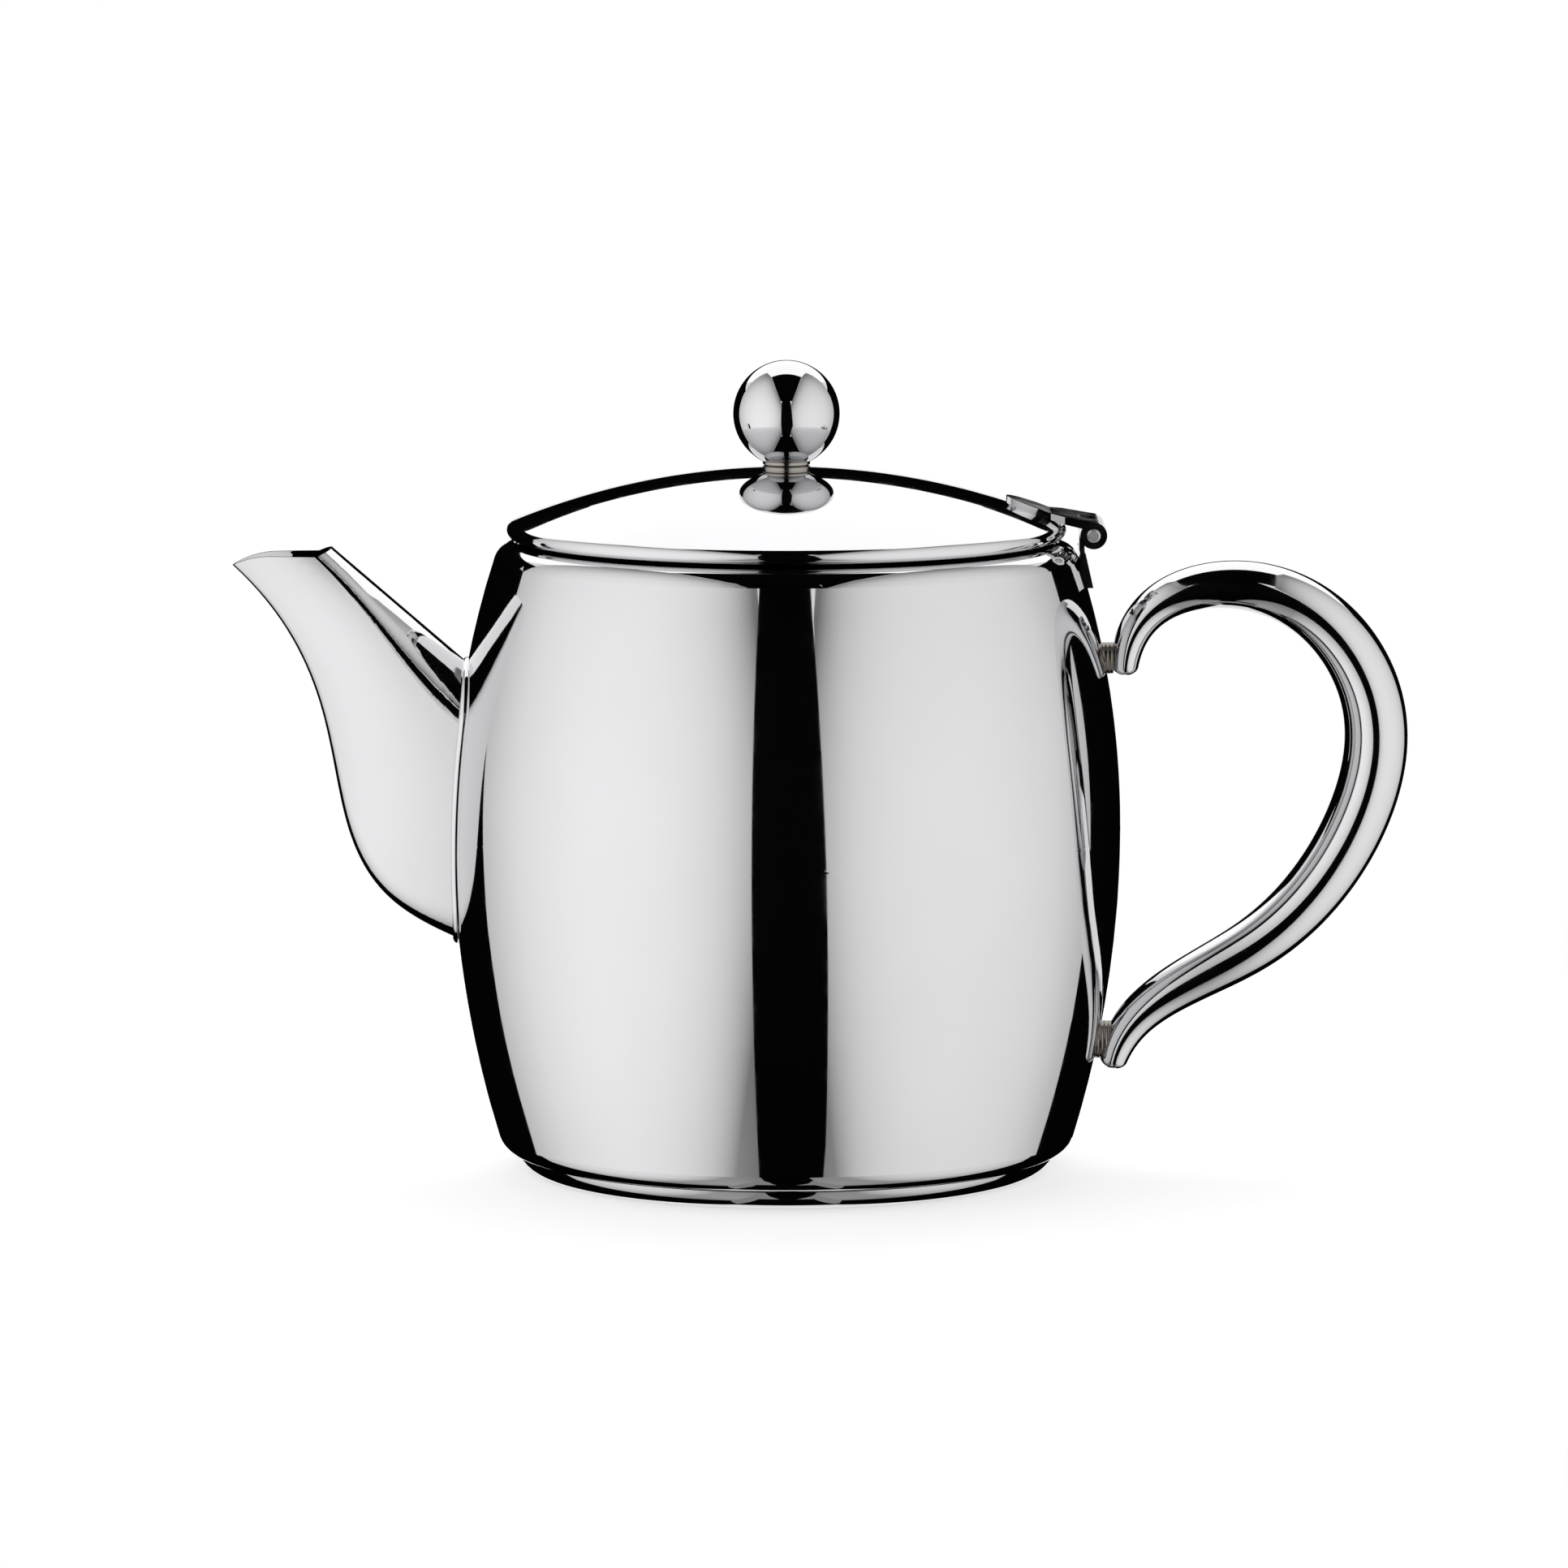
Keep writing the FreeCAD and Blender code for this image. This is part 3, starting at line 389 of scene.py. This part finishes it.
handle_rows = [handle_row(share, inset) for share, inset in handle_shares()]
add_piece(
    "handle_tube", skin("handle_tube", handle_rows, False, True), "pot", "handle_steel",
    "handle_left_half", "handle_right_half",
)


# Weld bead round the spout's root, laid along the edge where the spout meets the pot

BELLY_HEIGHT = 64.3
BELLY_RADIUS = 62.2
LOWER_BEND = 199.0
UPPER_BEND = 164.0
ROOT_MIDDLE = 68.0
ROOT_TOP = 100.0
ON_POT = 0.02
BEAD_RADIUS = 1.0
BEAD_POINTS = 90
BEAD_STRAY = 0.3


def pot_radius(height):
    """Outside radius of the barrel at a height."""
    bend = LOWER_BEND if height < BELLY_HEIGHT else UPPER_BEND
    return BELLY_RADIUS - bend + math.sqrt(bend**2 - (height - BELLY_HEIGHT) ** 2)


def weld_line():
    """The outermost points of the spout's root on the pot, in order round it, without strays inside them."""
    farthest = {}
    for name in ("spout_left_half", "spout_right_half"):
        for vertex in nodes[name].data.vertices:
            x, y, z = vertex.co / MM
            if z > ROOT_TOP or abs(math.hypot(x, y) - pot_radius(z)) > ON_POT:
                continue
            turn = math.atan2(z - ROOT_MIDDLE, y)
            key = int((turn + math.pi) / (2 * math.pi) * BEAD_POINTS)
            reach = math.hypot(y, z - ROOT_MIDDLE)
            if key not in farthest or reach > farthest[key][0]:
                farthest[key] = (reach, (x, y, z))
    found = [farthest[key] for key in sorted(farthest)]
    beside = zip(found[-1:] + found[:-1], found, found[1:] + found[:1])
    return [
        here[1] for before, here, after in beside
        if here[0] > (before[0] + after[0]) / 2 - BEAD_STRAY
    ]


def bead_mesh(name, line):
    """Round tube along a closed line."""
    curve = bpy.data.curves.new(name, "CURVE")
    curve.dimensions = "3D"
    curve.bevel_depth = BEAD_RADIUS * MM
    curve.bevel_resolution = 5
    curve.resolution_u = 6
    run = curve.splines.new("NURBS")
    run.points.add(len(line) - 1)
    for point, place in zip(run.points, line):
        point.co = (*mm(*place), 1.0)
    run.use_cyclic_u = True
    run.order_u = 3
    path = bpy.data.objects.new(name, curve)
    bpy.context.scene.collection.objects.link(path)
    mesh = bpy.data.meshes.new_from_object(path.evaluated_get(bpy.context.evaluated_depsgraph_get()))
    bpy.data.objects.remove(path)
    mesh.name = name
    mesh.materials.clear()
    mesh.shade_smooth()
    return mesh


add_piece("spout_weld", bead_mesh("spout_weld", weld_line()), "pot", "spout_steel")


# Studio: a white surround, long side screens, one screen above and one far below, and black cloths between them

SIDE = 450.0
SIDE_TOP = 1250.0
SIDE_LOW = -2400.0
SCREEN_FRONT = -2400.0
SCREEN_BACK = 600.0
SCREEN_MIDDLE = 30.0
SCREEN_REACH = 1050.0
SCREEN_FADE = 0.35
KNEE_HEIGHT = 250.0
LEFT_FOOT_BACK = 270.0
LEFT_KNEE_BACK = 290.0
RIGHT_FOOT_BACK = 230.0
RIGHT_KNEE_BACK = 300.0
LEFT_PEAK = 1.34
RIGHT_PEAK = 1.19
LEFT_FALL = [(-2400, 0.46), (-1500, 0.64), (-900, 0.80), (-250, 1.0), (60, 0.84), (290, 0.50), (600, 0.45)]
RIGHT_FALL = [(-2400, 0.46), (-1500, 0.68), (-900, 0.86), (-300, 1.0), (60, 0.88), (290, 0.52), (600, 0.45)]
TOP_LEVEL = 1.47
LOW_LEVEL = 0.3
CLOTH_SHADE = 0.003

TOP_HALF = 900.0
TOP_FRONT_EDGE = (180.0, 1200.0)
TOP_BACK_EDGE = (1500.0, 560.0)
LOW_HALF = 2000.0
LOW_FRONT_EDGE = (-3000.0, -2650.0)
LOW_BACK_EDGE = (1500.0, -2650.0)

FRONT = -1500.0
FRONT_LOW = -2600.0
FRONT_TOP = 1440.0
FRONT_LEFT_LOW = -345.0
FRONT_RIGHT_LOW = 520.0
FRONT_RIGHT_KNEE = (450.0, -1200.0)
FRONT_LEFT_TOP = -283.0
FRONT_RIGHT_TOP = 210.0
FRONT_FOLD = 260.0 / 1500.0
ROOF_FRONT_EDGE = (-1800.0, 1250.0)
ROOF_BACK_EDGE = (170.0, 1250.0)
UNDER_HALF = 110.0
UNDER_FRONT_EDGE = (-150.0, -900.0)
UNDER_BACK_EDGE = (600.0, -900.0)
BACK_NEAR = (470.0, 200.0)
BACK_NEAR_TOP = 340.0
BACK_FAR = (230.0, 1500.0)
BACK_FAR_TOP = 570.0
BACK_HALF = 620.0
BACK_LOW_EDGE = (1505.0, 195.0)
BACK_TOP_EDGE = (1505.0, 580.0)


def plain_mesh(name, corners, material):
    mesh = bpy.data.meshes.new(name)
    mesh.from_pydata([mm(*corner) for corner in corners], [], [tuple(range(len(corners)))])
    mesh.materials.append(material)
    sheet = bpy.data.objects.new(name, mesh)
    bpy.context.scene.collection.objects.link(sheet)
    return sheet


def even_sheet(name, half_width, first_edge, last_edge, material):
    """Sheet between two edges that run across, each given by its depth and height."""
    corners = [
        (-half_width, *first_edge), (half_width, *first_edge),
        (half_width, *last_edge), (-half_width, *last_edge),
    ]
    return plain_mesh(name, corners, material)


def side_screen(name, across, foot_back, knee_back, material):
    """Upright screen beside the pot, whose back edge slopes back above a knee."""
    corners = [
        (across, SCREEN_FRONT, SIDE_LOW),
        (across, foot_back, SIDE_LOW),
        (across, knee_back, KNEE_HEIGHT),
        (across, SCREEN_BACK, SIDE_TOP),
        (across, SCREEN_FRONT, SIDE_TOP),
    ]
    return plain_mesh(name, corners, material)


def back_cloth(name, side, material):
    """Upright cloth behind the pot on one side, from beside it to far behind."""
    near = (side * BACK_NEAR[0], BACK_NEAR[1])
    far = (side * BACK_FAR[0], BACK_FAR[1])
    corners = [(*near, SIDE_LOW), (*far, SIDE_LOW), (*far, BACK_FAR_TOP), (*near, BACK_NEAR_TOP)]
    return plain_mesh(name, corners, material)


def screen_material(name, strength):
    material, tree, output = node_material(name)
    glow = tree.nodes.new("ShaderNodeEmission")
    glow.inputs["Strength"].default_value = strength
    tree.links.new(glow.outputs["Emission"], output.inputs["Surface"])
    return material


def lit_screen_material(name, peak, fall):
    """A cloth screen lit from behind: brightest beside the pot, fading to its ends, its top and its foot."""
    material, tree, output = node_material(name)
    glow = tree.nodes.new("ShaderNodeEmission")
    place = tree.nodes.new("ShaderNodeTexCoord")
    parts = tree.nodes.new("ShaderNodeSeparateXYZ")
    tree.links.new(place.outputs["Object"], parts.inputs["Vector"])
    along = spread(tree, parts.outputs["Y"], 0.0, 1.0, SCREEN_FRONT * MM, SCREEN_BACK * MM)
    ramp = tree.nodes.new("ShaderNodeValToRGB")
    ramp.color_ramp.interpolation = "B_SPLINE"
    for stop in fall[2:]:
        ramp.color_ramp.elements.new(0.5)
    for element, (depth, level) in zip(ramp.color_ramp.elements, fall):
        element.position = (depth - SCREEN_FRONT) / (SCREEN_BACK - SCREEN_FRONT)
        element.color = (level, level, level, 1.0)
    tree.links.new(along, ramp.inputs["Fac"])
    foot = (SCREEN_MIDDLE - SCREEN_REACH) * MM
    top = (SCREEN_MIDDLE + SCREEN_REACH) * MM
    height = spread(tree, parts.outputs["Z"], -1.0, 1.0, foot, top)
    square = combine(tree, "MULTIPLY", height, height)
    fade = spread(tree, square, peak, peak * SCREEN_FADE, 0.0, 1.0)
    level = combine(tree, "MULTIPLY", ramp.outputs["Color"], fade)
    tree.links.new(level, glow.inputs["Strength"])
    tree.links.new(glow.outputs["Emission"], output.inputs["Surface"])
    return material


def cloth_material():
    material, tree, output = node_material("black_cloth")
    shader = tree.nodes.new("ShaderNodeBsdfDiffuse")
    shader.inputs["Color"].default_value = (CLOTH_SHADE, CLOTH_SHADE, CLOTH_SHADE, 1.0)
    tree.links.new(shader.outputs["BSDF"], output.inputs["Surface"])
    return material


cloth = cloth_material()
left_glow = lit_screen_material("left_screen", LEFT_PEAK, LEFT_FALL)
right_glow = lit_screen_material("right_screen", RIGHT_PEAK, RIGHT_FALL)
top_glow = screen_material("top_screen", TOP_LEVEL)
low_glow = screen_material("low_screen", LOW_LEVEL)
front_corners = [
    (FRONT_LEFT_LOW, FRONT, FRONT_LOW),
    (FRONT_RIGHT_LOW, FRONT, FRONT_LOW),
    (FRONT_RIGHT_KNEE[0], FRONT, FRONT_RIGHT_KNEE[1]),
    (FRONT_RIGHT_TOP, FRONT, FRONT_TOP),
    (FRONT_LEFT_TOP, FRONT, FRONT_TOP),
]
# The front cloth runs on along its foot, narrowing towards the place below the pot
fold_corners = [
    (FRONT_LEFT_LOW, FRONT, FRONT_LOW),
    (FRONT_RIGHT_LOW, FRONT, FRONT_LOW),
    (FRONT_RIGHT_LOW * FRONT_FOLD, FRONT * FRONT_FOLD, FRONT_LOW),
    (FRONT_LEFT_LOW * FRONT_FOLD, FRONT * FRONT_FOLD, FRONT_LOW),
]

hidden = [
    side_screen("left_screen", -SIDE, LEFT_FOOT_BACK, LEFT_KNEE_BACK, left_glow),
    side_screen("right_screen", SIDE, RIGHT_FOOT_BACK, RIGHT_KNEE_BACK, right_glow),
    even_sheet("top_screen", TOP_HALF, TOP_FRONT_EDGE, TOP_BACK_EDGE, top_glow),
    even_sheet("low_screen", LOW_HALF, LOW_FRONT_EDGE, LOW_BACK_EDGE, low_glow),
    plain_mesh("front_cloth", front_corners, cloth),
    plain_mesh("front_low_cloth", fold_corners, cloth),
    even_sheet("front_top_cloth", TOP_HALF, ROOF_FRONT_EDGE, ROOF_BACK_EDGE, cloth),
    even_sheet("under_cloth", UNDER_HALF, UNDER_FRONT_EDGE, UNDER_BACK_EDGE, cloth),
    back_cloth("back_left_cloth", -1, cloth),
    back_cloth("back_right_cloth", 1, cloth),
    even_sheet("back_top_cloth", BACK_HALF, BACK_LOW_EDGE, BACK_TOP_EDGE, cloth),
]
for sheet in hidden:
    sheet.visible_camera = False

world = bpy.data.worlds.new("studio")
world.use_nodes = True
surround = world.node_tree.nodes["Background"]
surround.inputs["Color"].default_value = (1.0, 1.0, 1.0, 1.0)
surround.inputs["Strength"].default_value = 1.0
bpy.context.scene.world = world


# Floor: a plain pale board

BOARD_RADIUS = 300.0
BOARD_SIDES = 96
BOARD_DULL = (0.93, 0.93, 0.93)
BOARD_PALE = (0.95, 0.95, 0.95)
BOARD_LIFT = 0.45
MOTTLE_SCALE = 80.0
MOTTLE_DETAIL = 2.0


def board_material():
    """Matt white board that keeps the pot's shadow. Seen directly it is lifted to the surround's white."""
    material, tree, output = node_material("pale_board")
    matt = tree.nodes.new("ShaderNodeBsdfDiffuse")
    mottle = noise(tree, MOTTLE_SCALE, MOTTLE_DETAIL)
    tree.links.new(blend_colours(tree, mottle, BOARD_DULL, BOARD_PALE), matt.inputs["Color"])
    lift = tree.nodes.new("ShaderNodeEmission")
    rays = tree.nodes.new("ShaderNodeLightPath").outputs
    mirrored = combine(tree, "MAXIMUM", rays["Is Glossy Ray"], rays["Is Transmission Ray"])
    seen = combine(tree, "MAXIMUM", rays["Is Camera Ray"], mirrored)
    tree.links.new(combine(tree, "MULTIPLY", seen, BOARD_LIFT), lift.inputs["Strength"])
    both = tree.nodes.new("ShaderNodeAddShader")
    tree.links.new(matt.outputs["BSDF"], both.inputs[0])
    tree.links.new(lift.outputs["Emission"], both.inputs[1])
    tree.links.new(both.outputs["Shader"], output.inputs["Surface"])
    return material


board_rim = [
    (BOARD_RADIUS * math.cos(turn), BOARD_RADIUS * math.sin(turn), 0.0) for turn in full_turn(BOARD_SIDES)
]
floor = plain_mesh("pale_floor", board_rim, board_material())
# The polished faces show the sheets below in place of the floor
floor.visible_glossy = False


# Camera: the photograph's viewing angle

ELEVATION = math.radians(7.2)
DISTANCE = 1900.0
TARGET = mm(-0.45, 0.0, 72.29)
PHOTO_PIXELS = 1932.0
FOCAL_PIXELS = 12579.0
SENSOR_WIDTH = 36.0
NEAREST = 0.05
FARTHEST = 50.0

away = Vector((0.0, -math.cos(ELEVATION), math.sin(ELEVATION)))
camera = bpy.data.objects.new("camera", bpy.data.cameras.new("camera"))
bpy.context.scene.collection.objects.link(camera)
camera.location = TARGET + away * DISTANCE * MM
camera.rotation_mode = "QUATERNION"
camera.rotation_quaternion = (-away).to_track_quat("-Z", "Y")
camera.data.sensor_width = SENSOR_WIDTH
camera.data.lens = FOCAL_PIXELS * SENSOR_WIDTH / PHOTO_PIXELS
camera.data.clip_start = NEAREST
camera.data.clip_end = FARTHEST
bpy.context.scene.camera = camera
bpy.context.scene.view_settings.view_transform = "Standard"
